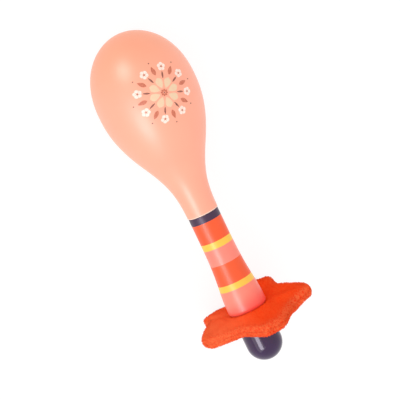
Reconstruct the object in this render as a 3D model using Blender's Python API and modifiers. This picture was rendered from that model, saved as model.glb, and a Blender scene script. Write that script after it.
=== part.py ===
# A turned wooden toy maraca: hollow head, striped handle, padded petal collar and knob.
# Units are metres. The maraca is turned about its own axis, head up, and an empty then lays it on
# its side with the head towards -X and the knob towards +X. Heights along the axis are counted
# from the neck's end, where the head meets the handle.
import math

import bmesh
import bpy
from mathutils import Vector
from mathutils.geometry import interpolate_bezier

# Head: dome above the widest ring, bowl and neck below it
head_radius = 0.0288
dome_height = 0.0365
bowl_height = 0.0726
dome_tip_share = 0.473
dome_side_share = 0.659
taper_height = 0.0361
taper_radius = 0.0188
taper_slope = 0.545
bowl_side_share = 0.264
bowl_taper_share = 0.522
neck_radius = 0.0090
neck_taper_share = 0.368
neck_end_share = 0.557
neck_swell = 0.0006
neck_edge = 0.0004
parting_flat_radius = 0.002

# Head: walls, chamber and the rebate that joins the two shells
wall = 0.0045
chamber_floor_height = 0.0285
rebate_length = 0.004
rebate_share = 0.5

# Handle
waist_radius = 0.0088
waist_length = 0.014
handle_length = 0.060
flare_radius = 0.01125
handle_end_rounding = 0.003
tenon_radius = 0.0055
tenon_length = 0.026
flare_start_share = 0.62
flare_end_share = 0.42

# Peg
peg_radius = 0.004
peg_handle_depth = 0.018
peg_knob_depth = 0.011

# Collar
petals = 5
petal_tip_radius = 0.0332
petal_notch_radius = 0.0248
petal_bluntness = 0.0003
collar_clamp_radius = 0.0088
collar_clamp_thickness = 0.005
collar_puff_thickness = 0.0066
collar_puff_radius = 0.015
collar_edge_rounding = 0.0032
collar_lean = 0.275
collar_lean_radius = 0.016
cloth_thickness = 0.0011

# Knob
knob_radius = 0.0102
knob_length = 0.0245
knob_shoulder_rounding = 0.0028

# Pellets
pellet_radius = 0.003
pellet_pitch = 0.0068
pellet_rows = (4, 5, 5)
pellet_row_sides = (0, 1, -1)

# Clearances and mesh density
clearance = 0.0003
axis_steps = 48
handle_steps = 32
petal_steps = 12
merge_distance = 0.00001

rebate_radius = head_radius - wall * rebate_share
collar_middle = handle_length + clearance + collar_clamp_thickness / 2
knob_start = handle_length + collar_clamp_thickness + 2 * clearance
knob_end = knob_start + knob_length
head_tip = bowl_height + dome_height


def clear_scene():
    for item in list(bpy.data.objects):
        bpy.data.objects.remove(item, do_unlink=True)


def make_collection(name):
    collection = bpy.data.collections.new(name)
    bpy.context.scene.collection.children.link(collection)
    return collection


def make_material(name, color, roughness):
    material = bpy.data.materials.new(name)
    material.use_nodes = True
    shader = material.node_tree.nodes["Principled BSDF"]
    shader.inputs["Base Color"].default_value = (*color, 1.0)
    shader.inputs["Roughness"].default_value = roughness
    shader.inputs["Metallic"].default_value = 0.0
    material.diffuse_color = (*color, 1.0)
    return material


def bezier(start, start_handle, end_handle, end, points):
    corners = [Vector((radius, height, 0)) for radius, height in (start, start_handle, end_handle, end)]
    return [(point.x, point.y) for point in interpolate_bezier(*corners, points)]


def arc(centre, radius, start_degrees, end_degrees, points):
    outline = []
    for index in range(points):
        angle = math.radians(start_degrees + (end_degrees - start_degrees) * index / (points - 1))
        outline.append((centre[0] + radius * math.cos(angle), centre[1] + radius * math.sin(angle)))
    return outline


def add_object(name, mesh, material, parent):
    mesh.materials.append(material)
    item = bpy.data.objects.new(name, mesh)
    item.parent = parent
    parts.objects.link(item)
    return item


def turned(name, profile, steps, material, parent, closed=False):
    """Turn a profile of (radius, height) points, which runs down its outer side."""
    mesh = bpy.data.meshes.new(name)
    outline = bmesh.new()
    points = [outline.verts.new((radius, 0, height)) for radius, height in profile]
    pairs = list(zip(points, points[1:]))
    if closed:
        pairs.append((points[-1], points[0]))
    for first, second in pairs:
        outline.edges.new((first, second))
    outline.to_mesh(mesh)
    outline.free()
    item = add_object(name, mesh, material, parent)
    screw = item.modifiers.new("Turn", "SCREW")
    screw.steps = steps
    screw.render_steps = steps
    screw.use_merge_vertices = True
    screw.merge_threshold = merge_distance
    screw.use_smooth_shade = True
    return item


def dome_outline(inset, points):
    """The dome's side from its tip down to the widest ring, inset by a wall or not."""
    radius = head_radius - inset
    height = dome_height - inset
    tip = bowl_height + height
    return bezier((0, tip), (radius * dome_tip_share, tip),
                  (radius, bowl_height + height * dome_side_share), (radius, bowl_height), points)


def bowl_outline(inset, points):
    """The bowl's side from the widest ring down to where the taper runs straight."""
    radius = head_radius - inset
    end_radius = taper_radius - inset
    fall = bowl_height - taper_height
    run = math.hypot(1, taper_slope)
    handle = fall * bowl_taper_share
    return bezier((radius, bowl_height), (radius, bowl_height - fall * bowl_side_share),
                  (end_radius + handle * taper_slope / run, taper_height + handle / run),
                  (end_radius, taper_height), points)


def neck_outline(points):
    """The neck's side from the straight taper down to its rounded end."""
    run = math.hypot(1, taper_slope)
    handle = taper_height * neck_taper_share
    side = bezier((taper_radius, taper_height),
                  (taper_radius - handle * taper_slope / run, taper_height - handle / run),
                  (neck_radius + neck_swell, taper_height * neck_end_share * (1 - neck_taper_share)),
                  (neck_radius, neck_edge), points)
    return side + [(neck_radius - neck_edge, 0)]


def with_parting_flat(outline, highest):
    """Replace the point on the axis by the small flat that the lathe's parting tool leaves."""
    return [(0, highest), (parting_flat_radius, highest)] + outline


def make_head_dome(parent):
    outer = with_parting_flat(dome_outline(0, 11)[1:], head_tip)
    inner = dome_outline(wall, 9)
    inner[-1] = (head_radius - wall, bowl_height + rebate_length)
    rim = [(rebate_radius, bowl_height), (rebate_radius, bowl_height + rebate_length)]
    return turned("head_dome", outer + rim + inner[::-1], axis_steps, paint_peach, parent)


def make_head_bowl(parent):
    spigot_top = bowl_height + rebate_length - clearance
    spigot_radius = rebate_radius - clearance
    rim_height = bowl_height - clearance
    outer = bowl_outline(0, 11)[1:] + neck_outline(9)[1:]
    inner = bowl_outline(wall, 8)[1:]
    bore = tenon_radius + clearance
    top = [(head_radius - wall, spigot_top), (spigot_radius, spigot_top), (spigot_radius, rim_height),
           (head_radius, rim_height)]
    floor = [(bore, chamber_floor_height), (bore, 0)]
    profile = top + outer + floor[::-1] + inner[::-1]
    return turned("head_bowl", profile, axis_steps, paint_peach, parent, closed=True)


def make_handle(parent):
    top = tenon_length
    flare_top = -waist_length
    flare_bottom = -handle_length + handle_end_rounding
    flare_fall = flare_top - flare_bottom
    flare = bezier((waist_radius, flare_top), (waist_radius, flare_top - flare_fall * flare_start_share),
                   (flare_radius, flare_bottom + flare_fall * flare_end_share),
                   (flare_radius, flare_bottom), 9)
    end = arc((flare_radius - handle_end_rounding, -handle_length + handle_end_rounding),
              handle_end_rounding, 0, -90, 5)
    hole = peg_radius + clearance
    hole_bottom = -handle_length + peg_handle_depth
    profile = [(0, top), (tenon_radius, top), (tenon_radius, -clearance), (waist_radius, -clearance)]
    profile += flare + end[1:] + [(hole, -handle_length), (hole, hole_bottom), (0, hole_bottom)]
    return turned("handle", profile, handle_steps, paint_stripes, parent)


def make_peg(parent):
    top = -handle_length + peg_handle_depth - clearance
    bottom = -knob_start - peg_knob_depth + clearance
    profile = [(0, top), (peg_radius, top), (peg_radius, bottom), (0, bottom)]
    return turned("peg", profile, handle_steps, bare_wood, parent)


def make_knob(parent):
    hole = peg_radius + clearance
    hole_top = -knob_start - peg_knob_depth
    shoulder = arc((knob_radius - knob_shoulder_rounding, -knob_start - knob_shoulder_rounding),
                   knob_shoulder_rounding, 90, 0, 4)
    flat_angle = math.acos(parting_flat_radius / knob_radius)
    bulb_height = -knob_end + knob_radius * math.sin(flat_angle)
    bulb = arc((0, bulb_height), knob_radius, 0, -math.degrees(flat_angle), 8)
    profile = [(0, hole_top), (hole, hole_top), (hole, -knob_start)] + shoulder + bulb + [(0, -knob_end)]
    return turned("knob", profile, handle_steps, paint_navy, parent)


def petal_radius(angle):
    """The collar's outline: petals with blunt tips, one of them straight up at angle zero."""
    middle = (petal_tip_radius + petal_notch_radius) / 2 + petal_bluntness
    swing = (petal_tip_radius - petal_notch_radius) / 2
    return middle + swing * math.cos(petals * angle) - petal_bluntness * math.cos(2 * petals * angle)


def smooth(value):
    value = min(max(value, 0), 1)
    return value * value * (3 - 2 * value)


def collar_skin(angle, inset):
    """Half of the collar's section, as (radius, height over its middle), from hole to rim."""
    hole = peg_radius + clearance
    rim = petal_radius(angle) - inset
    rounding = collar_edge_rounding - inset
    lift = clearance / 2
    radii = [hole, collar_clamp_radius, collar_puff_radius,
             (collar_puff_radius + rim - rounding) / 2]
    section = []
    for radius in radii:
        rise = smooth((radius - collar_clamp_radius) / (collar_puff_radius - collar_clamp_radius))
        thickness = collar_clamp_thickness + (collar_puff_thickness - collar_clamp_thickness) * rise
        section.append((radius, thickness / 2 - inset))
    full = collar_puff_thickness / 2 - inset - lift
    for turn in (0, 30, 60, 90):
        angle_round = math.radians(turn)
        section.append((rim - rounding * (1 - math.sin(angle_round)), lift + full * math.cos(angle_round)))
    return section


def collar_offset(angle, radius):
    """How far the collar leans along the axis: the petal that is up leans towards the knob."""
    lean = smooth((radius - collar_clamp_radius) / (collar_lean_radius - collar_clamp_radius))
    return collar_lean * radius * math.cos(angle) * lean


def ring_body(name, section, material, parent):
    """Wrap a closed section, which may change with the angle, round the axis on a torus."""
    steps = petals * petal_steps
    count = len(section(0))
    bpy.ops.mesh.primitive_torus_add(major_segments=steps, minor_segments=count,
                                     major_radius=petal_tip_radius, minor_radius=peg_radius)
    torus = bpy.context.object
    mesh = torus.data
    mesh.name = name
    for step in range(steps):
        angle = 2 * math.pi * step / steps
        for index, (radius, height) in enumerate(section(angle)):
            place = -collar_middle + height - collar_offset(angle, radius)
            corner = mesh.vertices[step * count + index]
            corner.co = (radius * math.cos(angle), radius * math.sin(angle), place)
    bpy.data.objects.remove(torus)
    body = bmesh.new()
    body.from_mesh(mesh)
    bmesh.ops.recalc_face_normals(body, faces=body.faces)
    body.to_mesh(mesh)
    body.free()
    mesh.shade_smooth()
    return add_object(name, mesh, material, parent)


def make_collar(parent):
    def cloth(side):
        def section(angle):
            outside = collar_skin(angle, 0)
            inside = collar_skin(angle, cloth_thickness)
            return [(radius, side * height) for radius, height in outside + inside[::-1]]
        return section

    def wadding(angle):
        upper = collar_skin(angle, cloth_thickness + clearance)[:-1]
        rim = petal_radius(angle) - cloth_thickness - clearance
        lower = [(radius, -height) for radius, height in upper[::-1]]
        return upper + [(rim, 0)] + lower

    ring_body("collar_top_cloth", cloth(1), terry_cloth, parent)
    ring_body("collar_wadding", wadding, wadding_fleece, parent)
    ring_body("collar_bottom_cloth", cloth(-1), terry_cloth, parent)


def chamber_radius(height, inset):
    """The chamber's radius at a height, less an inset, read from the shells' inner outlines."""
    outline = dome_outline(wall + inset, 40) + bowl_outline(wall + inset, 40)[1:]
    for (upper_radius, upper), (lower_radius, lower) in zip(outline, outline[1:]):
        if lower <= height <= upper:
            share = (upper - height) / (upper - lower)
            return upper_radius + (lower_radius - upper_radius) * share
    return 0


def make_pellets(parent):
    """Loose pellets on the chamber's floor, in rows along the axis. Each origin is its centre."""
    mesh = bpy.data.meshes.new("pellet")
    ball = bmesh.new()
    bmesh.ops.create_uvsphere(ball, u_segments=10, v_segments=7, radius=pellet_radius)
    ball.to_mesh(mesh)
    ball.free()
    mesh.materials.append(bare_wood)
    mesh.shade_smooth()
    number = 0
    for count, side in zip(pellet_rows, pellet_row_sides):
        for index in range(count):
            number += 1
            height = bowl_height + pellet_pitch * (index - (count - 1) / 2)
            across = side * pellet_pitch
            reach = chamber_radius(height, pellet_radius + clearance)
            down = -math.sqrt(reach ** 2 - across ** 2)
            item = bpy.data.objects.new(f"pellet_{number:02d}", mesh)
            item.parent = parent
            item.location = (down, across, height)
            parts.objects.link(item)


clear_scene()
parts = make_collection("maraca")
paint_peach = make_material("paint_peach", (0.98, 0.52, 0.36), 0.4)
paint_stripes = make_material("paint_stripes", (0.99, 0.13, 0.06), 0.4)
paint_navy = make_material("paint_navy", (0.075, 0.048, 0.102), 0.3)
bare_wood = make_material("bare_wood", (0.62, 0.42, 0.24), 0.6)
terry_cloth = make_material("terry_cloth", (0.97, 0.08, 0.011), 0.95)
wadding_fleece = make_material("wadding_fleece", (0.85, 0.84, 0.8), 0.95)

collar_drop = max(-petal_radius(angle) * math.cos(angle)
                  for angle in (math.radians(degrees) for degrees in range(0, 360, 3)))
lying_height = max(head_radius, collar_drop)
middle_height = (head_tip - knob_end) / 2

axis = bpy.data.objects.new("maraca_axis", None)
parts.objects.link(axis)
axis.rotation_euler = (0, math.radians(-90), 0)
axis.location = (middle_height, 0, lying_height)

make_head_dome(axis)
make_head_bowl(axis)
make_handle(axis)
make_peg(axis)
make_knob(axis)
make_collar(axis)
make_pellets(axis)
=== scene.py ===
# Turned and lacquered toy maraca with a padded terry collar, lying on a pale table
import math

import bpy
from mathutils import Matrix, Vector
from mathutils.geometry import interpolate_bezier


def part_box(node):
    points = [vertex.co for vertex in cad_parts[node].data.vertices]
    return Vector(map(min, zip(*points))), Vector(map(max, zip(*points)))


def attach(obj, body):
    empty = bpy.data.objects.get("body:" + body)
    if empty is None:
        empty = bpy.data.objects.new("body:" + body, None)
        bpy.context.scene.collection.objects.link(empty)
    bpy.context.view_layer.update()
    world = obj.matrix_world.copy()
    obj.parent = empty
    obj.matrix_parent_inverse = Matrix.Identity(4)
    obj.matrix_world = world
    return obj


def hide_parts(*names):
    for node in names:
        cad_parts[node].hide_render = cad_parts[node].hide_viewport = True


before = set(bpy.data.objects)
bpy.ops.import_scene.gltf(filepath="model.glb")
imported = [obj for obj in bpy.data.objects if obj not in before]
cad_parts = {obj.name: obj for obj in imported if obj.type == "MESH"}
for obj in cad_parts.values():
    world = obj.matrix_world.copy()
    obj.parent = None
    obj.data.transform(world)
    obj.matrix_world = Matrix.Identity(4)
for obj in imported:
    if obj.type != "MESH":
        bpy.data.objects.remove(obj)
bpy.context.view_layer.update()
mm = 0.001
circleShare = 0.5523     # Bezier handle of a quarter circle, as a share of its radius
weldDistance = 0.002 * mm
smoothAngle = math.radians(35)

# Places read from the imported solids
domeLow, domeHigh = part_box("head_dome")
bowlLow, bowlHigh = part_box("head_bowl")
handleLow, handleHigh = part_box("handle")
pegLow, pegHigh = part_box("peg")
knobLow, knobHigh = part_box("knob")

axisZ = (domeLow.z + domeHigh.z) / 2
headR = (domeHigh.z - domeLow.z) / 2
tipX = domeLow.x
equatorX = domeHigh.x            # where the two shells of the head meet outside
spigotX = bowlLow.x              # where the bowl's rebate ends inside the dome
neckX = bowlHigh.x
handleTopX = handleLow.x
handleEndX = handleHigh.x
handleFlareR = (handleHigh.y - handleLow.y) / 2
pegR = (pegHigh.y - pegLow.y) / 2
knobStartX = knobLow.x
knobEndX = knobHigh.x
knobR = (knobHigh.y - knobLow.y) / 2
collarX = (handleEndX + knobStartX) / 2
print("frame loaded:", len(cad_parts), "nodes")


# Small helpers

def srgbHex(code):
    channels = [int(code[i:i + 2], 16) / 255 for i in (1, 3, 5)]
    linear = [c / 12.92 if c <= 0.04045 else ((c + 0.055) / 1.055) ** 2.4 for c in channels]
    return (*linear, 1.0)


def grey(level):
    return (level, level, level, 1.0)


def addNode(tree, kind, settings=None, links=None):
    node = tree.nodes.new(kind)
    for key, value in (settings or {}).items():
        if isinstance(key, int) or key in node.inputs:
            node.inputs[key].default_value = value
        else:
            setattr(node, key, value)
    for key, source in (links or {}).items():
        tree.links.new(source, node.inputs[key])
    return node


def newMaterial(name):
    material = bpy.data.materials.new(name)
    material.use_nodes = True
    material.node_tree.nodes.clear()
    return material, material.node_tree


def wear(piece, material):
    piece.data.materials.clear()
    piece.data.materials.append(material)


def deselectAll():
    if bpy.context.mode != "OBJECT":
        bpy.ops.object.mode_set(mode="OBJECT")
    bpy.ops.object.select_all(action="DESELECT")


def pick(piece):
    deselectAll()
    piece.select_set(True)
    bpy.context.view_layer.objects.active = piece


def editAll(piece):
    pick(piece)
    bpy.ops.object.mode_set(mode="EDIT")
    bpy.ops.mesh.select_all(action="SELECT")


def copyOf(piece, name):
    twin = piece.copy()
    twin.data = piece.data.copy()
    twin.name = name
    bpy.context.collection.objects.link(twin)
    return twin


def joinAll(pieces, name):
    deselectAll()
    for piece in pieces:
        piece.select_set(True)
    bpy.context.view_layer.objects.active = pieces[0]
    bpy.ops.object.join()
    pieces[0].name = name
    pieces[0].data.name = name
    return pieces[0]


def applyAll(piece):
    pick(piece)
    for modifier in list(piece.modifiers):
        bpy.ops.object.modifier_apply(modifier=modifier.name)


def smoothStep(value):
    value = min(max(value, 0), 1)
    return value * value * (3 - 2 * value)


# Lacquers and inks

lacquerSettings = {
    "ior": 1.5,
    "cloudFrom": 0.35,           # nearly all of a noise's values lie between these two
    "cloudTo": 0.65,
    "peelDetail": 2.0,
    "peelDepth": 0.05 * mm,
}


def sprayedCoat(s, tree, where):
    # what every lacquer here has: faint clouds in its tone, and the spray gun's orange peel
    shared = lacquerSettings
    cloud = addNode(tree, "ShaderNodeTexNoise", {"Scale": 1 / s["cloud"], "Detail": s["cloudDetail"]},
                    {"Vector": where})
    tone = addNode(tree, "ShaderNodeMapRange",
                   {1: shared["cloudFrom"], 2: shared["cloudTo"],
                    3: 1 - s["cloudChange"], 4: 1 + s["cloudChange"]}, {0: cloud.outputs["Fac"]})
    peel = addNode(tree, "ShaderNodeTexNoise", {"Scale": 1 / s["peel"], "Detail": shared["peelDetail"]},
                   {"Vector": where})
    relief = addNode(tree, "ShaderNodeBump", {"Strength": s["peelStrength"], "Distance": shared["peelDepth"]},
                     {"Height": peel.outputs["Fac"]})
    return tone.outputs[0], relief.outputs["Normal"]


peachSettings = {
    "colour": "#FFAB8F",
    "tipShadeColour": "#FFA784",     # painted shade: the dome's tip is painted a little deeper and warmer, as if less light fell there
    "edgeHighlightColour": "#FFE0CE",     # painted highlight: a pale line along the neck's rounded edge, where it catches the light
    "edgeWidth": 0.55 * mm,
    "edgeBlendShare": 0.3,
    "roughness": 0.38,
    "cloud": 22 * mm,
    "cloudDetail": 2.0,
    "cloudChange": 0.015,
    "peel": 1.6 * mm,
    "peelStrength": 0.12,
}


def peachLacquerMaterial(s):
    # sprayed nitro lacquer over sanded beech: soft wide highlight, faint orange peel; painted shade deepens
    # the dome's tip and a painted highlight lightens the neck's edge
    material, tree = newMaterial("peachLacquer")
    where = addNode(tree, "ShaderNodeTexCoord").outputs["Object"]
    tone, normal = sprayedCoat(s, tree, where)
    alongX = addNode(tree, "ShaderNodeSeparateXYZ", {}, {0: where}).outputs["X"]
    # painted shade: the colour turns deeper towards the dome's tip
    nearTip = addNode(tree, "ShaderNodeMapRange", {"interpolation_type": "SMOOTHSTEP", 1: equatorX, 2: tipX},
                      {0: alongX})
    sprayAndShade = addNode(tree, "ShaderNodeMix",
                    {"data_type": "RGBA", 6: srgbHex(s["colour"]), 7: srgbHex(s["tipShadeColour"])},
                    {0: nearTip.outputs[0]})
    paint = addNode(tree, "ShaderNodeHueSaturation", {}, {"Color": sprayAndShade.outputs[2], "Value": tone})
    # painted highlight: a pale band just before the neck's end
    paintedLightMask = addNode(tree, "ShaderNodeMapRange",
                     {1: neckX - s["edgeWidth"] * (1 + s["edgeBlendShare"]),
                      2: neckX - s["edgeWidth"] * (1 - s["edgeBlendShare"])}, {0: alongX})
    coat = addNode(tree, "ShaderNodeMix", {"data_type": "RGBA", 7: srgbHex(s["edgeHighlightColour"])},
                   {0: paintedLightMask.outputs[0], 6: paint.outputs["Color"]})
    shader = addNode(tree, "ShaderNodeBsdfPrincipled",
                     {"Roughness": s["roughness"], "IOR": lacquerSettings["ior"]},
                     {"Base Color": coat.outputs[2], "Normal": normal})
    addNode(tree, "ShaderNodeOutputMaterial", {}, {"Surface": shader.outputs[0]})
    return material


navySettings = {
    "colour": "#321644",
    "roughness": 0.11,
    "cloud": 4 * mm,
    "cloudDetail": 3.0,
    "cloudChange": 0.08,
    "peel": 1.8 * mm,
    "peelStrength": 0.15,
}


def navyLacquerMaterial(s):
    # two coats of aubergine lacquer, polished: dark, with a crisp streak where a lamp is reflected
    material, tree = newMaterial("navyLacquer")
    where = addNode(tree, "ShaderNodeTexCoord").outputs["Object"]
    tone, normal = sprayedCoat(s, tree, where)
    paint = addNode(tree, "ShaderNodeHueSaturation", {"Color": srgbHex(s["colour"])}, {"Value": tone})
    shader = addNode(tree, "ShaderNodeBsdfPrincipled",
                     {"Roughness": s["roughness"], "IOR": lacquerSettings["ior"]},
                     {"Base Color": paint.outputs["Color"], "Normal": normal})
    addNode(tree, "ShaderNodeOutputMaterial", {}, {"Surface": shader.outputs[0]})
    return material


bandSettings = {
    # where each band ends, from the neck's end on, and their colours; the last runs to the handle's end
    "ends": (4.14 * mm, 15.73 * mm, 19.52 * mm, 29.28 * mm, 40.95 * mm, 44.5 * mm),
    "colours": ("#402642", "#F65825", "#FBC547", "#FD8775", "#F65825", "#FBC547", "#FD8773"),
    "wobble": 5 * mm,            # the masked edges waver a little
    "wobbleDetail": 2.0,
    "wobbleWidth": 0.2 * mm,
    "roughness": 0.38,
    "gloss": 0.36,
    "coat": 0.1,
    "coatRoughness": 0.2,
    "collarReflection": "#FB4A44",          # painted reflection of the red collar, with painted shade, towards the handle's end
    "collarReflectionLength": 12 * mm,
    "collarReflectionAmount": 0.75,
    "collarReflectionSlant": 0.3,           # the painted reflection climbs higher on the back of the handle
    "cloud": 7 * mm,
    "cloudDetail": 3.0,
    "cloudChange": 0.025,
    "peel": 1.6 * mm,
    "peelStrength": 0.12,
}


def bandedLacquerMaterial(s):
    # lacquer laid on in rings while the handle turns on the lathe: crisp bands, satin sheen; near the end a
    # painted red reflection of the collar, with painted shade
    material, tree = newMaterial("bandedLacquer")
    where = addNode(tree, "ShaderNodeTexCoord").outputs["Object"]
    parts = addNode(tree, "ShaderNodeSeparateXYZ", {}, {0: where})
    alongX = parts.outputs["X"]
    wobble = addNode(tree, "ShaderNodeTexNoise", {"Scale": 1 / s["wobble"], "Detail": s["wobbleDetail"]},
                     {"Vector": where})
    shift = addNode(tree, "ShaderNodeMath",
                    {"operation": "MULTIPLY_ADD", 1: s["wobbleWidth"], 2: -s["wobbleWidth"] / 2},
                    {0: wobble.outputs["Fac"]})
    place = addNode(tree, "ShaderNodeMath", {"operation": "ADD"}, {0: alongX, 1: shift.outputs[0]})
    share = addNode(tree, "ShaderNodeMapRange", {1: neckX, 2: handleEndX}, {0: place.outputs[0]})
    ramp = addNode(tree, "ShaderNodeValToRGB", {}, {0: share.outputs[0]})
    bands = ramp.color_ramp
    bands.interpolation = "CONSTANT"
    bands.elements[0].color = srgbHex(s["colours"][0])
    bands.elements[1].position = s["ends"][0] / (handleEndX - neckX)
    bands.elements[1].color = srgbHex(s["colours"][1])
    for end, colour in zip(s["ends"][1:], s["colours"][2:]):
        bands.elements.new(end / (handleEndX - neckX)).color = srgbHex(colour)
    # painted reflection and shade: the handle's end is tinted red where the collar lies close
    slanted = addNode(tree, "ShaderNodeMath", {"operation": "MULTIPLY_ADD", 1: s["collarReflectionSlant"]},
                      {0: parts.outputs["Y"], 2: alongX})
    paintedLightMask = addNode(tree, "ShaderNodeMapRange",
                     {1: handleEndX - s["collarReflectionLength"], 2: handleEndX, 3: 0.0, 4: s["collarReflectionAmount"],
                      "interpolation_type": "SMOOTHSTEP"}, {0: slanted.outputs[0]})
    withCollarReflection = addNode(tree, "ShaderNodeMix", {"data_type": "RGBA", 7: srgbHex(s["collarReflection"])},
                      {0: paintedLightMask.outputs[0], 6: ramp.outputs["Color"]})
    tone, normal = sprayedCoat(s, tree, where)
    paint = addNode(tree, "ShaderNodeHueSaturation", {}, {"Color": withCollarReflection.outputs[2], "Value": tone})
    shader = addNode(tree, "ShaderNodeBsdfPrincipled",
                     {"Roughness": s["roughness"], "IOR": lacquerSettings["ior"],
                      "Specular IOR Level": s["gloss"], "Coat Weight": s["coat"],
                      "Coat Roughness": s["coatRoughness"]},
                     {"Base Color": paint.outputs["Color"], "Normal": normal})
    addNode(tree, "ShaderNodeOutputMaterial", {}, {"Surface": shader.outputs[0]})
    return material


inkSettings = {
    # colour, and how well the ink covers where it is thinnest
    "creamInk": ("#EDCEAA", 0.8),
    "whiteInk": ("#FBEADD", 0.75),
    "russetInk": ("#C8694C", 0.75),
    "brownInk": ("#7A4438", 0.75),
    "patch": 0.9 * mm,
    "patchDetail": 3.0,
    "patchFrom": 0.35,
    "patchTo": 0.6,
    "roughness": 0.42,
}


def printInkMaterial(s, name):
    # pad-printed ink: a thin flat film, a little patchy, so that the peach shows through in places
    colour, cover = s[name]
    material, tree = newMaterial(name)
    where = addNode(tree, "ShaderNodeTexCoord").outputs["Object"]
    patch = addNode(tree, "ShaderNodeTexNoise", {"Scale": 1 / s["patch"], "Detail": s["patchDetail"]},
                    {"Vector": where})
    amount = addNode(tree, "ShaderNodeMapRange", {1: s["patchFrom"], 2: s["patchTo"], 3: cover, 4: 1.0},
                     {0: patch.outputs["Fac"]})
    film = addNode(tree, "ShaderNodeMix",
                   {"data_type": "RGBA", 6: srgbHex(peachSettings["colour"]), 7: srgbHex(colour)},
                   {0: amount.outputs[0]})
    shader = addNode(tree, "ShaderNodeBsdfPrincipled",
                     {"Roughness": s["roughness"], "IOR": lacquerSettings["ior"]},
                     {"Base Color": film.outputs[2]})
    addNode(tree, "ShaderNodeOutputMaterial", {}, {"Surface": shader.outputs[0]})
    return material


# Bare wood, cloth and wadding

beechSettings = {
    "dark": "#B98A5E",
    "pale": "#DDB98C",
    "darkUpTo": 0.35,            # the noise's values between which dark turns to pale
    "paleFrom": 0.6,
    "fleck": 0.8 * mm,
    "fleckDetail": 6.0,
    "fleckStretch": 0.15,        # along the grain the pattern is drawn out to 1 / this
    "reliefStrength": 0.4,
    "reliefDepth": 0.08 * mm,
    "roughness": 0.6,
}


def bareBeechMaterial(s):
    # turned beech left bare: pale brown, with short darker flecks along the grain
    material, tree = newMaterial("bareBeech")
    where = addNode(tree, "ShaderNodeTexCoord").outputs["Object"]
    turned = addNode(tree, "ShaderNodeMapping", {"Scale": (s["fleckStretch"], 1, 1)}, {"Vector": where})
    fleck = addNode(tree, "ShaderNodeTexNoise", {"Scale": 1 / s["fleck"], "Detail": s["fleckDetail"]},
                    {"Vector": turned.outputs[0]})
    ramp = addNode(tree, "ShaderNodeValToRGB", {}, {0: fleck.outputs["Fac"]})
    ramp.color_ramp.elements[0].position = s["darkUpTo"]
    ramp.color_ramp.elements[0].color = srgbHex(s["dark"])
    ramp.color_ramp.elements[1].position = s["paleFrom"]
    ramp.color_ramp.elements[1].color = srgbHex(s["pale"])
    relief = addNode(tree, "ShaderNodeBump", {"Strength": s["reliefStrength"], "Distance": s["reliefDepth"]},
                     {"Height": fleck.outputs["Fac"]})
    shader = addNode(tree, "ShaderNodeBsdfPrincipled", {"Roughness": s["roughness"]},
                     {"Base Color": ramp.outputs["Color"], "Normal": relief.outputs["Normal"]})
    addNode(tree, "ShaderNodeOutputMaterial", {}, {"Surface": shader.outputs[0]})
    return material


terrySettings = {
    "deep": "#FF4008",
    "bright": "#FF561C",
    "rimDeep": "#FA4014",
    "rimBright": "#FF7642",
    "paintedLitColour": "#FF8552",
    "paintedLitFromY": 1 * mm,        # painted light: the cloth is painted paler towards the front, where more light falls
    "paintedLitToY": -25 * mm,
    "paintedLitAmount": 0.8,
    "rimKept": 0.5,              # share of the painted light that the rim is spared
    "tuft": 0.9 * mm,
    "tuftDetail": 4.0,
    "deepUpTo": 0.36,            # the noise's values between which deep turns to bright
    "brightFrom": 0.56,
    "roughness": 0.9,
    "gloss": 0.1,
    "sheen": 1.0,                # light that the stray fibres catch
    "sheenRoughness": 0.5,
    "sheenTint": "#FF5A1E",
}


def cottonTerryMaterial(s):
    # dyed cotton terry: matt, deeper between the tufts, coarser and paler at the rim, and painted paler
    # towards the front as painted light
    material, tree = newMaterial("cottonTerry")
    where = addNode(tree, "ShaderNodeTexCoord").outputs["Object"]
    yarn = addNode(tree, "ShaderNodeTexNoise", {"Scale": 1 / s["tuft"], "Detail": s["tuftDetail"]},
                   {"Vector": where})
    tuft = addNode(tree, "ShaderNodeMapRange", {1: s["deepUpTo"], 2: s["brightFrom"]},
                   {0: yarn.outputs["Fac"]})
    grain = addNode(tree, "ShaderNodeAttribute", {"attribute_name": "grain"}).outputs["Fac"]
    deep = addNode(tree, "ShaderNodeMix",
                   {"data_type": "RGBA", 6: srgbHex(s["deep"]), 7: srgbHex(s["rimDeep"])}, {0: grain})
    bright = addNode(tree, "ShaderNodeMix",
                     {"data_type": "RGBA", 6: srgbHex(s["bright"]), 7: srgbHex(s["rimBright"])}, {0: grain})
    dyed = addNode(tree, "ShaderNodeMix", {"data_type": "RGBA"},
                   {0: tuft.outputs[0], 6: deep.outputs[2], 7: bright.outputs[2]})
    # painted light: the cloth turns paler towards the front
    acrossY = addNode(tree, "ShaderNodeSeparateXYZ", {}, {0: where}).outputs["Y"]
    front = addNode(tree, "ShaderNodeMapRange",
                    {1: s["paintedLitFromY"], 2: s["paintedLitToY"], 3: 0.0, 4: s["paintedLitAmount"]}, {0: acrossY})
    spared = addNode(tree, "ShaderNodeMath", {"operation": "MULTIPLY_ADD", 1: -s["rimKept"], 2: 1.0},
                     {0: grain})
    paintedLitShare = addNode(tree, "ShaderNodeMath", {"operation": "MULTIPLY"},
                     {0: front.outputs[0], 1: spared.outputs[0]})
    cloth = addNode(tree, "ShaderNodeMix", {"data_type": "RGBA", 7: srgbHex(s["paintedLitColour"])},
                    {0: paintedLitShare.outputs[0], 6: dyed.outputs[2]})
    shader = addNode(tree, "ShaderNodeBsdfPrincipled",
                     {"Roughness": s["roughness"], "Specular IOR Level": s["gloss"],
                      "Sheen Weight": s["sheen"], "Sheen Roughness": s["sheenRoughness"],
                      "Sheen Tint": srgbHex(s["sheenTint"])},
                     {"Base Color": cloth.outputs[2]})
    addNode(tree, "ShaderNodeOutputMaterial", {}, {"Surface": shader.outputs[0]})
    return material


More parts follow.
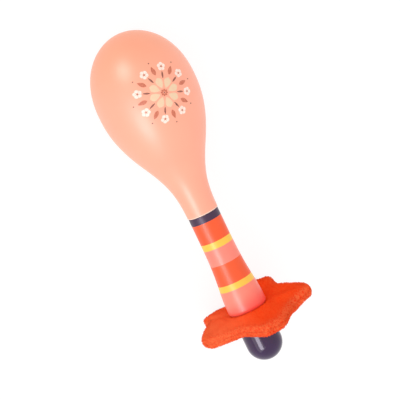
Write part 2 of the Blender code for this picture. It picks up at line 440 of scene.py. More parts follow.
waddingSettings = {
    "shaded": "#D8D6CE",
    "pale": "#F7F6F2",
    "clump": 2 * mm,
    "clumpDetail": 8.0,
    "reliefStrength": 0.8,
    "reliefDepth": 0.3 * mm,
    "roughness": 1.0,
}


def polyWaddingMaterial(s):
    # carded polyester: off-white, soft and clumped
    material, tree = newMaterial("polyWadding")
    where = addNode(tree, "ShaderNodeTexCoord").outputs["Object"]
    clump = addNode(tree, "ShaderNodeTexNoise", {"Scale": 1 / s["clump"], "Detail": s["clumpDetail"]},
                    {"Vector": where})
    ramp = addNode(tree, "ShaderNodeValToRGB", {}, {0: clump.outputs["Fac"]})
    ramp.color_ramp.elements[0].color = srgbHex(s["shaded"])
    ramp.color_ramp.elements[1].color = srgbHex(s["pale"])
    relief = addNode(tree, "ShaderNodeBump", {"Strength": s["reliefStrength"], "Distance": s["reliefDepth"]},
                     {"Height": clump.outputs["Fac"]})
    shader = addNode(tree, "ShaderNodeBsdfPrincipled", {"Roughness": s["roughness"]},
                     {"Base Color": ramp.outputs["Color"], "Normal": relief.outputs["Normal"]})
    addNode(tree, "ShaderNodeOutputMaterial", {}, {"Surface": shader.outputs[0]})
    return material


peachLacquer = peachLacquerMaterial(peachSettings)
navyLacquer = navyLacquerMaterial(navySettings)
bandedLacquer = bandedLacquerMaterial(bandSettings)
bareBeech = bareBeechMaterial(beechSettings)
cottonTerry = cottonTerryMaterial(terrySettings)
polyWadding = polyWaddingMaterial(waddingSettings)
print("materials ready")


# Turned wood: a half outline drawn as a Bezier curve above the axis, then spun round it

def turnPiece(s, name, knots, closed, material):
    # a knot is its place and, where the outline is curved, the handles before and after it
    deselectAll()
    bpy.ops.curve.primitive_bezier_curve_add(location=(0, 0, 0))
    outline = bpy.context.object
    outline.data.resolution_u = s["spanPoints"]
    spline = outline.data.splines[0]
    spline.bezier_points.add(len(knots) - 2)
    spline.use_cyclic_u = closed
    for point, knot in zip(spline.bezier_points, knots):
        place, before, after = (knot + (None, None))[:3]
        point.handle_left_type = "FREE" if before else "VECTOR"
        point.handle_right_type = "FREE" if after else "VECTOR"
        point.co = (place[0], 0, axisZ + place[1])
        if before:
            point.handle_left = (before[0], 0, axisZ + before[1])
        if after:
            point.handle_right = (after[0], 0, axisZ + after[1])
    bpy.ops.object.convert(target="MESH")
    piece = bpy.context.object
    piece.name = name
    piece.data.name = name
    editAll(piece)
    bpy.ops.mesh.remove_doubles(threshold=weldDistance)
    bpy.ops.mesh.spin(steps=s["steps"], angle=math.tau, center=(0, 0, axisZ), axis=(1, 0, 0))
    bpy.ops.mesh.select_all(action="SELECT")
    bpy.ops.mesh.remove_doubles(threshold=weldDistance)
    bpy.ops.mesh.normals_make_consistent(inside=False)
    bpy.ops.object.mode_set(mode="OBJECT")
    bpy.ops.object.shade_smooth_by_angle(angle=smoothAngle)
    wear(piece, material)
    return piece


headSettings = {
    "wall": 4.5 * mm,
    "rebateShare": 0.5,          # how far through the wall the step between the shells lies
    "fit": 0.3 * mm,             # glue gap inside the step and the neck's bore
    "domeTipShare": 0.473,       # Bezier handles of the dome, as shares of its radius and height
    "domeSideShare": 0.659,
    "taperHeight": 36.1 * mm,    # from the neck's end up to where the taper runs straight
    "taperR": 18.65 * mm,
    "taperSlope": 0.545,
    "bowlSideShare": 0.264,      # and the bowl's, as shares of its fall down to the taper
    "bowlTaperShare": 0.522,
    "neckR": 9.0 * mm,
    "neckSwell": 0.1 * mm,
    "neckTaperShare": 0.46,      # and the neck's, as shares of the taper's height
    "neckEndShare": 0.74,
    "neckEdge": 0.6 * mm,
    "boreR": 5.8 * mm,
    "chamberFloor": 28.5 * mm,
    "spanPoints": 28,
    "steps": 144,
}


def domeOutside(s):
    return [
        ((tipX, 0), None, (tipX, headR * s["domeTipShare"])),
        ((equatorX, headR), (equatorX - (equatorX - tipX) * s["domeSideShare"], headR)),
    ]


def taperLine(s):
    # where the bowl runs straight, how far that is below the widest ring, its upper handle, its slant
    taperX = neckX - s["taperHeight"]
    fall = taperX - equatorX
    return taperX, fall, fall * s["bowlTaperShare"], math.hypot(1, s["taperSlope"])


def bowlOutside(s):
    taperX, fall, upper, run = taperLine(s)
    lower = s["taperHeight"] * s["neckTaperShare"]
    swellX = neckX - s["taperHeight"] * s["neckEndShare"] * (1 - s["neckTaperShare"])
    edge = s["neckEdge"]
    soft = edge * (1 - circleShare)
    return [
        ((equatorX, headR), None, (equatorX + fall * s["bowlSideShare"], headR)),
        ((taperX, s["taperR"]),
         (taperX - upper / run, s["taperR"] + upper * s["taperSlope"] / run),
         (taperX + lower / run, s["taperR"] - lower * s["taperSlope"] / run)),
        ((neckX - edge, s["neckR"]), (swellX, s["neckR"] + s["neckSwell"]), (neckX - soft, s["neckR"])),
        ((neckX, s["neckR"] - edge), (neckX, s["neckR"] - soft)),
    ]


def makeHead(s):
    innerR = headR - s["wall"]
    stepR = headR - s["wall"] * s["rebateShare"]
    stepX = spigotX - s["fit"]
    innerTipX = tipX + s["wall"]
    dome = domeOutside(s) + [
        ((equatorX, stepR),),
        ((stepX, stepR),),
        ((stepX, innerR), None, (stepX - (stepX - innerTipX) * s["domeSideShare"], innerR)),
        ((innerTipX, 0), (innerTipX, innerR * s["domeTipShare"])),
    ]
    headDome = turnPiece(s, "headDome", dome, False, peachLacquer)

    taperX, fall, upper, run = taperLine(s)
    taperInR = s["taperR"] - s["wall"]
    bowl = [
        ((spigotX, innerR), (equatorX + fall * s["bowlSideShare"], innerR)),
        ((spigotX, stepR - s["fit"]),),
        ((equatorX, stepR - s["fit"]),),
    ] + bowlOutside(s) + [
        ((neckX, s["boreR"]),),
        ((neckX - s["chamberFloor"], s["boreR"]),),
        ((taperX, taperInR), None,
         (taperX - upper / run, taperInR + upper * s["taperSlope"] / run)),
    ]
    headBowl = turnPiece(s, "headBowl", bowl, True, peachLacquer)
    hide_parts("head_dome")
    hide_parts("head_bowl")
    for piece in (headDome, headBowl):
        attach(piece, "maraca")


handleSettings = {
    "waistR": 8.75 * mm,
    "waistLength": 14 * mm,
    "neckGap": 0.05 * mm,
    "rounding": 3 * mm,
    "tenonR": 5.5 * mm,
    "flareStartShare": 0.66,
    "flareEndShare": 0.34,
    "edge": 0.25 * mm,
    "holeR": 4.3 * mm,
    "holeDepth": 18 * mm,
    "spanPoints": 20,
    "steps": 128,
}


def makeHandle(s):
    startX = neckX + s["neckGap"]
    waistEndX = neckX + s["waistLength"]
    roundX = handleEndX - s["rounding"]
    flare = roundX - waistEndX
    edge = s["edge"]
    holeX = handleEndX - s["holeDepth"]
    endR = handleFlareR - s["rounding"]
    curve = s["rounding"] * circleShare
    handle = [
        ((handleTopX, 0),),
        ((handleTopX, s["tenonR"]),),
        ((startX, s["tenonR"]),),
        ((startX, s["waistR"] - edge), None, (startX, s["waistR"] - edge * (1 - circleShare))),
        ((startX + edge, s["waistR"]), (startX + edge * (1 - circleShare), s["waistR"])),
        ((waistEndX, s["waistR"]), None, (waistEndX + flare * s["flareStartShare"], s["waistR"])),
        ((roundX, handleFlareR), (roundX - flare * s["flareEndShare"], handleFlareR),
         (roundX + curve, handleFlareR)),
        ((handleEndX, endR), (handleEndX, endR + curve)),
        ((handleEndX, s["holeR"]),),
        ((holeX, s["holeR"]),),
        ((holeX, 0),),
    ]
    piece = turnPiece(s, "stripedHandle", handle, False, bandedLacquer)
    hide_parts("handle")
    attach(piece, "maraca")


knobSettings = {
    "shoulder": 2.8 * mm,
    "holeR": 4.3 * mm,
    "holeDepth": 11 * mm,
    "spanPoints": 16,
    "steps": 96,
}


def makeKnob(s):
    shoulder = s["shoulder"]
    bulbX = knobEndX - knobR
    curve = knobR * circleShare
    holeX = knobStartX + s["holeDepth"]
    knob = [
        ((holeX, 0),),
        ((holeX, s["holeR"]),),
        ((knobStartX, s["holeR"]),),
        ((knobStartX, knobR - shoulder), None, (knobStartX, knobR - shoulder * (1 - circleShare))),
        ((knobStartX + shoulder, knobR), (knobStartX + shoulder * (1 - circleShare), knobR)),
        ((bulbX, knobR), None, (bulbX + curve, knobR)),
        ((knobEndX, 0), (knobEndX, curve)),
    ]
    piece = turnPiece(s, "endKnob", knob, False, navyLacquer)
    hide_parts("knob")
    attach(piece, "maraca")


makeHead(headSettings)
makeHandle(handleSettings)
makeKnob(knobSettings)
for name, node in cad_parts.items():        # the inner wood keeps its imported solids
    if name == "peg" or name.startswith("pellet"):
        wear(node, bareBeech)
print("turned wood ready")


# Printed rosette: flat ink shapes, drawn once, ringed round a centre and pressed onto the head

printSettings = {
    "centreX": -63.0 * mm,
    "turn": math.radians(10.7),      # how far the print sits round the head from the top
    "dropShare": 1.6,                # the flat shapes are pressed on from this many head radii up
    "film": 0.03 * mm,
    "gap": 0.012 * mm,
    "around": 8,
    # leaves in a ring: inner end, outer end, width, and the share of the length where it is widest
    "petals": (2.7 * mm, 8.6 * mm, 4.0 * mm, 0.68),
    "slimLeaves": (7.6 * mm, 11.6 * mm, 1.0 * mm, 0.5),
    "broadLeaves": (10.2 * mm, 15.2 * mm, 2.3 * mm, 0.4),
    "heartLeaves": (0.576 * mm, 2.1 * mm, 1.05 * mm, 0.6),
    "blossomLeaves": (0.54 * mm, 2.4 * mm, 2.064 * mm, 0.62),
    "blossomPetals": 5,
    "blossomRing": 14.2 * mm,
    "dotR": 0.36 * mm,
    "dotRing": 17.4 * mm,
    "dotSides": 16,
    "leafAcross": 4,                 # faces across and along a leaf
    "leafAlong": 8,
    "leafFullness": 0.8,             # less is fuller towards its ends
    "leafTipShare": 0.06,
    "spanPoints": 40,                # of the smooth head that the ink is pressed onto
    "steps": 180,
}


def inkLeaf(s, length, width, fullest):
    # a pointed oval along +Y from the origin, widest at the share called fullest
    deselectAll()
    bpy.ops.mesh.primitive_grid_add(x_subdivisions=s["leafAcross"], y_subdivisions=s["leafAlong"], size=1)
    leaf = bpy.context.object
    for corner in leaf.data.vertices:
        along = corner.co.y + 0.5
        rise = along / fullest if along < fullest else (1 - along) / (1 - fullest)
        breadth = max(math.sin(rise * math.pi / 2) ** s["leafFullness"], s["leafTipShare"])
        corner.co = (corner.co.x * width * breadth, along * length, 0)
    return leaf


def inkDot(s):
    deselectAll()
    bpy.ops.mesh.primitive_circle_add(vertices=s["dotSides"], radius=s["dotR"], fill_type="TRIFAN")
    return bpy.context.object


def ringOf(shape, count, radius, start=0.0):
    # copies of a flat shape, each moved out by radius and turned round the middle
    copies = []
    for index in range(count):
        turn = start + math.tau * index / count
        twin = copyOf(shape, "inkCopy")
        twin.data.transform(Matrix.Rotation(turn, 4, "Z") @ Matrix.Translation((0, radius, 0)))
        copies.append(twin)
    bpy.data.objects.remove(shape)
    return copies


def leafRing(s, leaves, count, start=0.0):
    inner, outer, width, fullest = s[leaves]
    return ringOf(inkLeaf(s, outer - inner, width, fullest), count, inner, start)


def pressOn(s, shapes, name, skin):
    # lays flat shapes on the head from above the print's centre and gives them the ink's thickness
    ink = joinAll(shapes, name)
    ink.matrix_world = (Matrix.Translation((s["centreX"], 0, axisZ)) @ Matrix.Rotation(-s["turn"], 4, "X")
                        @ Matrix.Translation((0, 0, headR * s["dropShare"]))
                        @ Matrix.Rotation(math.pi / 2, 4, "Z"))
    press = ink.modifiers.new("Press", "SHRINKWRAP")
    press.target = skin
    press.wrap_method = "PROJECT"
    press.use_project_z = True
    press.use_negative_direction = True
    press.use_positive_direction = False
    press.offset = s["gap"]
    film = ink.modifiers.new("Film", "SOLIDIFY")
    film.thickness = s["film"]
    film.offset = 1
    applyAll(ink)
    bpy.ops.object.transform_apply(location=True, rotation=True, scale=True)
    bpy.ops.object.shade_smooth_by_angle(angle=smoothAngle)
    wear(ink, printInkMaterial(inkSettings, name))
    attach(ink, "maraca")


def makePrint(s):
    # the two shells' outlines, joined into one that the ink is pressed onto
    outside = domeOutside(headSettings) + bowlOutside(headSettings)[1:]
    outside[1] += (bowlOutside(headSettings)[0][2],)
    skin = turnPiece(s, "headSkin", outside, False, peachLacquer)
    around = s["around"]
    half = math.pi / around          # rings turned by half a step stand between the others
    petals = leafRing(s, "petals", around)
    slim = leafRing(s, "slimLeaves", around, half)
    broad = leafRing(s, "broadLeaves", around)
    heart = leafRing(s, "heartLeaves", around, half)
    blossom = joinAll(leafRing(s, "blossomLeaves", s["blossomPetals"]), "blossom")
    blossoms = ringOf(blossom, around, s["blossomRing"], half)
    eyes = ringOf(inkDot(s), around, s["blossomRing"], half)
    dots = ringOf(inkDot(s), around, s["dotRing"])
    middle = ringOf(inkDot(s), 1, 0)
    pressOn(s, petals, "creamInk", skin)
    pressOn(s, blossoms, "whiteInk", skin)
    pressOn(s, broad + heart, "russetInk", skin)
    pressOn(s, slim + eyes + dots + middle, "brownInk", skin)
    bpy.data.objects.remove(skin)


makePrint(printSettings)
print("print ready")


# Collar: two terry cloths sewn at the rim round a thin wadding, puffed up as cloth

collarSettings = {
    # round the axis, in mm: degrees from straight up, reach, lean towards the knob, half the end's width
    "petals": ((6, 34, 5.9, 3.8), (79, 35.1, 0.9, 5), (150, 30.7, -8.1, 5.2), (217.5, 29.6, -2.3, 4.3),
               (280, 30.3, 3.1, 4.1)),
    # after each petal: degrees, reach and lean
    "notches": ((49, 27, 4.5), (114, 27, -3.7), (183, 20, -4.1), (242, 25.6, 0), (320, 22, 4.2)),
    "cornerCurve": 3.5,          # how far the rim's curve reaches at the petals' corners, in mm
    "notchCurve": 4.5,
    "spanPoints": 10,            # the mesh: points along each span of the rim, and rings from hole to rim
    "faceRings": 12,
    "edgeRings": 5,
    "clampR": 8.2 * mm,          # held flat between the handle and the knob up to here
    "puffR": 12.5 * mm,          # and at its full thickness from here
    "leanFromR": 11 * mm,
    "leanFullR": 18 * mm,
    "clampThick": 4.8 * mm,
    "puffThick": 6.1 * mm,
    "rollHeight": 1.1 * mm,      # the soft roll that the handle's end sinks into
    "rollEndR": 20 * mm,
    "notchThin": 0.1,            # share of the thickness that is lost towards the notches
    "notchReach": 22 * mm,
    "petalReach": 31 * mm,
    "edgeRound": 2.4 * mm,
    "edgeFull": 0.72,            # 1 is a half round, less is squarer
    "cloth": 0.9 * mm,
    "waddingGap": 0.3 * mm,
    "rimFromShare": 0.82,        # where the rim's coarser terry starts, in shares of the face and edge
    "rimFullShare": 1.15,
    "pileFromR": 8.6 * mm,
    "pileFullR": 9.6 * mm,
    "heldR": 11.5 * mm,          # the cloth simulation holds all up to here
    "freeR": 17.5 * mm,
    "freeShare": 0.94,           # and lets this much go from here on
    "simScale": 12,              # cloth behaves better at the size of a cushion
    "simFrames": 20,
    "simCap": 1.1 * mm,
    "simValues": {
        "quality": 6,
        "mass": 0.3,
        "tension_stiffness": 12,
        "compression_stiffness": 12,
        "shear_stiffness": 5,
        "bending_stiffness": 0.3,
        "shrink_min": -0.05,
        "use_pressure": True,
        "uniform_pressure_force": 2.5,
        "vertex_group_mass": "held",
        "pin_stiffness": 1.0,
    },
    "loopR": 0.28 * mm,          # coarser than real terry, so that the loops show
    "loopYarn": 0.13 * mm,
    "loopSteps": 8,
    "yarnSides": 3,
    "loopStretch": 1.4,
    "loopGap": 0.62 * mm,
    "loopCrowd": 3,              # tries for each loop's place, so that the cloth fills up
    "loopTilt": 0.4,             # radians
    "loopSizes": (0.8, 1.25),
    "turnDraw": 3,               # added to a cloth's seed, so that turns and sizes are draws of their own
    "sizeDraw": 5,
    "faceNap": 0.62,             # height of the loops on the faces, and at the rim
    "rimNap": 1.05,
    "handleSeed": 4,
    "knobSeed": 21,
    "woodGap": 0.12 * mm,
    "floorGap": 0.05 * mm,
    "squash": 1.8 * mm,          # height over which it flattens on the table
}


def ringWays(degrees):
    # outwards and onwards round the axis
    turn = math.radians(degrees)
    return Vector((0, math.sin(turn), math.cos(turn))), Vector((0, math.cos(turn), -math.sin(turn)))


def collarRim(s):
    # points of the sewn rim in order round the axis
    curve = s["cornerCurve"]
    knots = []
    for (degrees, reach, lean, half), (notchDegrees, notchReach, notchLean) in zip(s["petals"], s["notches"]):
        outwards, onwards = ringWays(degrees)
        third = half * 2 / 3         # of the petal's end, which is straight
        for side, before, after in ((-1, curve, third), (1, third, curve)):
            place = Vector((lean, 0, 0)) + outwards * reach + onwards * half * side
            knots.append((place, place - onwards * before, place + onwards * after))
        outwards, onwards = ringWays(notchDegrees)
        place = Vector((notchLean, 0, 0)) + outwards * notchReach
        knots.append((place, place - onwards * s["notchCurve"], place + onwards * s["notchCurve"]))
    rim = []
    for knot, following in zip(knots, knots[1:] + knots[:1]):
        rim += interpolate_bezier(knot[0], knot[2], following[1], following[0], s["spanPoints"] + 1)[:-1]
    return [place * mm for place in rim]


def ease(value, start, end):
    return smoothStep((value - start) / (end - start))


def padPoint(s, rim, share, side):
    # share runs from the hole (0) over the face (up to 1) and round the edge (up to 2)
    holeR = pegR + s["woodGap"] * 2
    reach = math.hypot(rim.y, rim.z)
    flat = reach - s["edgeRound"]
    thinning = 1 - s["notchThin"] * (1 - ease(reach, s["notchReach"], s["petalReach"]))
    puff = s["puffThick"] * thinning
    if share <= 1:
        radius = holeR + (flat - holeR) * share
        half = (s["clampThick"] + (puff - s["clampThick"]) * ease(radius, s["clampR"], s["puffR"])) / 2
    else:
        turn = (share - 1) * math.pi / 2
        radius = flat + s["edgeRound"] * math.sin(turn) ** s["edgeFull"]
        half = puff / 2 * max(math.cos(turn), 0) ** s["edgeFull"]
    if side < 0:
        roll = ease(radius, s["clampR"], s["puffR"]) * (1 - ease(radius, s["puffR"], s["rollEndR"]))
        half += s["rollHeight"] * roll
    lean = rim.x * radius / reach * ease(radius, s["leanFromR"], s["leanFullR"])
    return Vector((collarX + side * half + lean, radius * rim.y / reach, axisZ + radius * rim.z / reach))


def makePad(s):
    # the collar as one closed pad: a torus whose points are all laid anew, with what the pile needs to know
    rim = collarRim(s)
    face, edge = s["faceRings"], s["edgeRings"]
    shares = [ring / face for ring in range(face + 1)] + [1 + ring / edge for ring in range(1, edge + 1)]
    column = [(share, -1) for share in shares] + [(share, 1) for share in reversed(shares[:-1])]
    deselectAll()
    bpy.ops.mesh.primitive_torus_add(major_segments=len(rim), minor_segments=len(column),
                                     major_radius=3 * pegR, minor_radius=pegR)
    pad = bpy.context.object
    pad.name = "collarPad"
    held = pad.vertex_groups.new(name="held")
    measures = pad.data.attributes
    for name in ("pile", "grain", "knobSide"):
        measures.new(name, "FLOAT", "POINT")
    for index, corner in enumerate(pad.data.vertices):
        step, ring = divmod(index, len(column))
        share, side = column[ring]
        corner.co = padPoint(s, rim[step], share, side)
        radius = math.hypot(corner.co.y, corner.co.z - axisZ)
        held.add([index], 1 - s["freeShare"] * ease(radius, s["heldR"], s["freeR"]), "REPLACE")
        measures["pile"].data[index].value = ease(radius, s["pileFromR"], s["pileFullR"])
        measures["grain"].data[index].value = ease(share, s["rimFromShare"], s["rimFullShare"])
        measures["knobSide"].data[index].value = 1.0 if ring >= len(shares) - 1 else 0.0
    editAll(pad)
    bpy.ops.mesh.normals_make_consistent(inside=False)
    bpy.ops.object.mode_set(mode="OBJECT")
    bpy.ops.object.shade_smooth()
    return pad


def puffUp(s, pad):
    before = [corner.co.copy() for corner in pad.data.vertices]
    pad.data.transform(Matrix.Scale(s["simScale"], 4))
    cloth = pad.modifiers.new("Cloth", "CLOTH")
    for name, value in s["simValues"].items():
        setattr(cloth.settings, name, value)
    cloth.settings.effector_weights.gravity = 0
    cloth.collision_settings.use_collision = False
    scene = bpy.context.scene
    for frameNumber in range(1, s["simFrames"] + 1):
        scene.frame_set(frameNumber)
    applyAll(pad)
    scene.frame_set(1)
    pad.data.transform(Matrix.Scale(1 / s["simScale"], 4))
    moved = 0
    for corner, old in zip(pad.data.vertices, before):
        shift = corner.co - old
        moved = max(moved, shift.length)
        if shift.length > s["simCap"]:
            corner.co = old + shift * (s["simCap"] / shift.length)
    print("collar puffed by up to", round(moved / mm, 2), "mm")


def makeYarnLoop(s):
    deselectAll()
    bpy.ops.mesh.primitive_torus_add(major_segments=s["loopSteps"], minor_segments=s["yarnSides"],
                                     major_radius=s["loopR"], minor_radius=s["loopYarn"],
                                     rotation=(math.pi / 2, 0, 0))
    loop = bpy.context.object
    loop.name = "yarnLoop"
    bpy.ops.object.transform_apply(location=True, rotation=True, scale=True)
    editAll(loop)
    bpy.ops.mesh.bisect(plane_co=(0, 0, 0), plane_no=(0, 0, 1), clear_inner=True)
    bpy.ops.mesh.select_all(action="SELECT")
    bpy.ops.transform.resize(value=(1, 1, s["loopStretch"]), center_override=(0, 0, 0))
    bpy.ops.object.mode_set(mode="OBJECT")
    bpy.ops.object.shade_smooth()
    wear(loop, cottonTerry)
    return loop


def growPile(s, sheet, name, loop, seed):
    # a copy of the sheet turns into the loops that stand on it
    pile = copyOf(sheet, name)
    tree = bpy.data.node_groups.new(name, "GeometryNodeTree")
    for way in ("INPUT", "OUTPUT"):
        tree.interface.new_socket("Geometry", in_out=way, socket_type="NodeSocketGeometry")
    source = addNode(tree, "NodeGroupInput")
    where = addNode(tree, "GeometryNodeInputNamedAttribute", {"data_type": "FLOAT", "Name": "pile"})
    scatter = addNode(tree, "GeometryNodeDistributePointsOnFaces",
                      {"distribute_method": "POISSON", "Distance Min": s["loopGap"],
                       "Density Max": s["loopCrowd"] / s["loopGap"] ** 2, "Seed": seed},
                      {"Mesh": source.outputs[0], "Density Factor": where.outputs["Attribute"]})
    loopInfo = addNode(tree, "GeometryNodeObjectInfo", {"Object": loop})
    tilt = s["loopTilt"]
    turn = addNode(tree, "FunctionNodeRandomValue",
                   {"data_type": "FLOAT_VECTOR", 0: (-tilt, -tilt, 0), 1: (tilt, tilt, math.tau),
                    "Seed": seed + s["turnDraw"]})
    spin = addNode(tree, "FunctionNodeRotateEuler", {"rotation_type": "EULER", "space": "LOCAL"},
                   {"Rotation": scatter.outputs["Rotation"], "Rotate By": turn.outputs[0]})
    small, large = s["loopSizes"]
    chance = addNode(tree, "FunctionNodeRandomValue",
                     {"data_type": "FLOAT", 2: small, 3: large, "Seed": seed + s["sizeDraw"]})
    grain = addNode(tree, "GeometryNodeInputNamedAttribute", {"data_type": "FLOAT", "Name": "grain"})
    height = addNode(tree, "ShaderNodeMapRange", {3: s["faceNap"], 4: s["rimNap"]},
                     {0: grain.outputs["Attribute"]})
    size = addNode(tree, "ShaderNodeMath", {"operation": "MULTIPLY"},
                   {0: chance.outputs[1], 1: height.outputs[0]})
    planted = addNode(tree, "GeometryNodeInstanceOnPoints", {},
                      {"Points": scatter.outputs["Points"], "Instance": loopInfo.outputs["Geometry"],
                       "Rotation": spin.outputs[0], "Scale": size.outputs[0]})
    made = addNode(tree, "GeometryNodeRealizeInstances", {}, {"Geometry": planted.outputs[0]})
    addNode(tree, "NodeGroupOutput", {}, {0: made.outputs[0]})
    growth = pile.modifiers.new("Loops", "NODES")
    growth.node_group = tree
    applyAll(pile)
    return pile


def halfOf(pad, name, knobSide):
    # keeps the faces on one side of the sewn rim
    half = copyOf(pad, name)
    sides = [measure.value for measure in half.data.attributes["knobSide"].data]
    seam = 0.999                     # 1 but for rounding: a corner of the knob's side or of the rim
    pick(half)
    bpy.ops.object.mode_set(mode="EDIT")
    bpy.ops.mesh.select_mode(type="FACE")
    bpy.ops.mesh.select_all(action="DESELECT")
    bpy.ops.object.mode_set(mode="OBJECT")
    for face in half.data.polygons:
        onSide = all(sides[corner] > seam for corner in face.vertices)
        face.select = onSide != knobSide
    bpy.ops.object.mode_set(mode="EDIT")
    bpy.ops.mesh.delete(type="FACE")
    bpy.ops.object.mode_set(mode="OBJECT")
    return half


def pressAgainst(piece, endX, endR, rounding, way, gap):
    # keeps cloth outside a turned end with a rounded edge; way points along X into the wood
    flatR = endR - rounding
    for corner in piece.data.vertices:
        depth = (corner.co.x - endX) * way
        radial = Vector((0, corner.co.y, corner.co.z - axisZ))
        radius = radial.length
        if depth < -gap or radius > endR + gap:
            continue
        if radius < flatR:
            corner.co.x = endX - way * gap
        elif depth > rounding:
            corner.co = Vector((corner.co.x, 0, axisZ)) + radial * ((endR + gap) / radius)
        else:
            away = Vector((depth - rounding, radius - flatR))
            if away.length < rounding + gap:
                away *= (rounding + gap) / away.length
                corner.co = (Vector((endX + way * (rounding + away.x), 0, axisZ))
                             + radial * ((flatR + away.y) / radius))


def settle(s, piece, lowest):
    # fits the soft piece between the wood and the table; lowest is how near the table it comes
    pressAgainst(piece, handleEndX, handleFlareR, handleSettings["rounding"], -1, s["woodGap"])
    pressAgainst(piece, knobStartX, knobR, knobSettings["shoulder"], 1, s["woodGap"])
    for corner in piece.data.vertices:
        height = (corner.co.z - lowest) / s["squash"]
        if height < 1:
            corner.co.z = lowest + s["squash"] * math.exp(height - 1)


def makeCloth(s, pad, name, node, knobSide, loop, seed):
    sheet = halfOf(pad, name, knobSide)
    pile = growPile(s, sheet, name + "Pile", loop, seed)
    thickness = sheet.modifiers.new("Thickness", "SOLIDIFY")
    thickness.thickness = s["cloth"]
    thickness.offset = -1
    applyAll(sheet)
    wear(sheet, cottonTerry)
    cloth = joinAll([sheet, pile], name)
    settle(s, cloth, s["floorGap"])
    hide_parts(node)
    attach(cloth, "collar")
    print(name, len(cloth.data.polygons), "faces")


def makeCollar(s):
    pad = makePad(s)
    puffUp(s, pad)
    finer = pad.modifiers.new("Finer", "SUBSURF")
    finer.levels = 1
    finer.render_levels = 1
    applyAll(pad)

    wadding = copyOf(pad, "collarWadding")
    editAll(wadding)
    bpy.ops.transform.shrink_fatten(value=-(s["cloth"] + s["waddingGap"]))
    bpy.ops.object.mode_set(mode="OBJECT")
    settle(s, wadding, s["floorGap"] + s["cloth"])
    wear(wadding, polyWadding)
    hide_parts("collar_wadding")
    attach(wadding, "collar")

    loop = makeYarnLoop(s)
    makeCloth(s, pad, "collarHandleCloth", "collar_top_cloth", False, loop, s["handleSeed"])
    makeCloth(s, pad, "collarKnobCloth", "collar_bottom_cloth", True, loop, s["knobSeed"])
    bpy.data.objects.remove(loop)
    bpy.data.objects.remove(pad)


makeCollar(collarSettings)
print("collar ready")


# Camera, table and lamps

cameraSettings = {
    "distance": 1.5,
    "mmPerPixel": 0.5495 * mm,      # at the distance of the maraca's axis
    "framePixels": 400,
    "tilt": math.radians(8.9),      # how far the camera stands to the head's side of square on
    "roll": math.radians(8.0),      # how far it stands to the front of straight above
    "turn": math.radians(25.5),     # how far the axis leans from the picture's upright
    "aimX": 2.26 * mm,
    "aimAcross": 1.66 * mm,
    "sensorWidth": 36,              # the sensor's and the lens's own millimetres
    "clipEnd": 10,
}


def pictureAxes(s):
    # the picture's right and up, the way to the camera, and the way across the maraca, in the world
    toCamera = (Vector((-1, 0, 0)) * math.sin(s["tilt"])
                + Vector((0, -math.sin(s["roll"]), math.cos(s["roll"]))) * math.cos(s["tilt"]))
    along = (Vector((1, 0, 0)) - toCamera * toCamera.x).normalized()
    across = Vector((0, math.cos(s["roll"]), math.sin(s["roll"])))
    right = along * math.sin(s["turn"]) + across * math.cos(s["turn"])
    up = across * math.sin(s["turn"]) - along * math.cos(s["turn"])
    return right, up, toCamera, across


def makeCamera(s):
    right, up, toCamera, across = pictureAxes(s)
    aim = Vector((s["aimX"], 0, axisZ)) + across * s["aimAcross"]
    place = Matrix((right, up, toCamera)).transposed().to_4x4()
    place.translation = aim + toCamera * s["distance"]
    deselectAll()
    bpy.ops.object.camera_add()
    camera = bpy.context.object
    camera.matrix_world = place
    camera.data.sensor_width = s["sensorWidth"]
    camera.data.lens = s["sensorWidth"] * s["distance"] / (s["mmPerPixel"] * s["framePixels"])
    camera.data.clip_end = s["clipEnd"]
    bpy.context.scene.camera = camera


tableSettings = {
    "size": 8,           # metres
    "colour": 0.9,       # grey levels: what it throws back,
    "lift": 0.8,         # how much of its white is its own glow, for the camera,
    "shade": 0.24,       # and how much of it takes shadow
}


def seenDirectly(tree):
    # 1 for what the camera sees straight, in a gloss or through glass
    rays = addNode(tree, "ShaderNodeLightPath")
    first = addNode(tree, "ShaderNodeMath", {"operation": "MAXIMUM"},
                    {0: rays.outputs["Is Camera Ray"], 1: rays.outputs["Is Glossy Ray"]})
    return addNode(tree, "ShaderNodeMath", {"operation": "MAXIMUM"},
                   {0: first.outputs[0], 1: rays.outputs["Is Transmission Ray"]}).outputs[0]


def makeTable(s):
    # a white paper sweep: matt for the light that it throws back, evenly white for the camera
    deselectAll()
    bpy.ops.mesh.primitive_plane_add(size=s["size"], location=(0, 0, 0))
    table = bpy.context.object
    table.name = "table"
    material, tree = newMaterial("paperSweep")
    matt = addNode(tree, "ShaderNodeBsdfDiffuse", {"Color": grey(s["colour"])})
    shaded = addNode(tree, "ShaderNodeBsdfDiffuse", {"Color": grey(s["shade"])})
    glow = addNode(tree, "ShaderNodeEmission", {"Color": grey(1), "Strength": s["lift"]})
    lifted = addNode(tree, "ShaderNodeAddShader", {}, {0: shaded.outputs[0], 1: glow.outputs[0]})
    seen = addNode(tree, "ShaderNodeMixShader", {},
                   {0: seenDirectly(tree), 1: matt.outputs[0], 2: lifted.outputs[0]})
    addNode(tree, "ShaderNodeOutputMaterial", {}, {"Surface": seen.outputs[0]})
    table.data.materials.append(material)


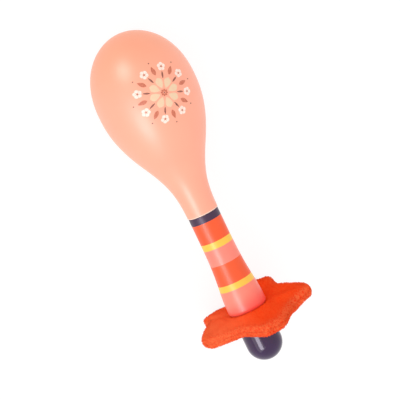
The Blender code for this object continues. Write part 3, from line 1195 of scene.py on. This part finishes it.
lightSettings = {
    "keyFrom": (-0.58, 0.42, 0.68),      # right, up and towards the camera in the picture
    "keyDistance": 0.9,
    "keySize": 0.38,
    "keyPower": 3.9,
    "fillFrom": (-0.45, -0.75, 0.80),
    "fillDistance": 1.3,
    "fillSize": 1.2,
    "fillPower": 4.9,
    "stripLean": math.radians(41),       # from straight above towards the front
    "stripX": 0.18,
    "stripDistance": 0.45,
    "stripSize": (0.36, 0.18),
    "stripPower": 1.6,
    "stripColour": (0.92, 0.89, 1.0),
    "sky": 0.99,
}


def makeSoftboxes(s):
    right, up, toCamera = pictureAxes(cameraSettings)[:3]
    middle = Vector((0, 0, axisZ))
    for name in ("key", "fill"):
        sideways, upwards, near = s[name + "From"]
        way = (right * sideways + up * upwards + toCamera * near).normalized()
        deselectAll()
        bpy.ops.object.light_add(type="AREA", location=middle + way * s[name + "Distance"])
        box = bpy.context.object
        box.name = name + "Softbox"
        box.data.size = s[name + "Size"]
        box.data.energy = s[name + "Power"]
        box.rotation_euler = way.to_track_quat("Z", "Y").to_euler()
        box.visible_diffuse = name == "fill"     # the key only draws the small highlight on the head


def makeGlossStrip(s):
    lean = s["stripLean"]
    way = Vector((0, -math.sin(lean), math.cos(lean)))
    deselectAll()
    bpy.ops.object.light_add(type="AREA",
                             location=Vector((s["stripX"], 0, axisZ)) + way * s["stripDistance"])
    strip = bpy.context.object
    strip.name = "glossStrip"
    strip.data.shape = "RECTANGLE"
    strip.data.size, strip.data.size_y = s["stripSize"]
    strip.data.energy = s["stripPower"]
    strip.data.color = s["stripColour"]
    strip.visible_diffuse = False        # it only draws the long highlight on the lacquer
    strip.rotation_euler = (lean, 0, 0)


def makeSky(s):
    # evenly white all round, and full white where the camera sees it
    world = bpy.data.worlds.new("studio")
    bpy.context.scene.world = world
    world.use_nodes = True
    tree = world.node_tree
    tree.nodes.clear()
    rays = addNode(tree, "ShaderNodeLightPath")
    strength = addNode(tree, "ShaderNodeMapRange", {3: s["sky"], 4: 1.0},
                       {0: rays.outputs["Is Camera Ray"]})
    sky = addNode(tree, "ShaderNodeBackground", {"Color": grey(1)}, {"Strength": strength.outputs[0]})
    addNode(tree, "ShaderNodeOutputWorld", {}, {"Surface": sky.outputs[0]})


makeCamera(cameraSettings)
makeTable(tableSettings)
makeSoftboxes(lightSettings)
makeGlossStrip(lightSettings)
makeSky(lightSettings)
bpy.context.scene.view_settings.view_transform = "Standard"

print("scene ready")
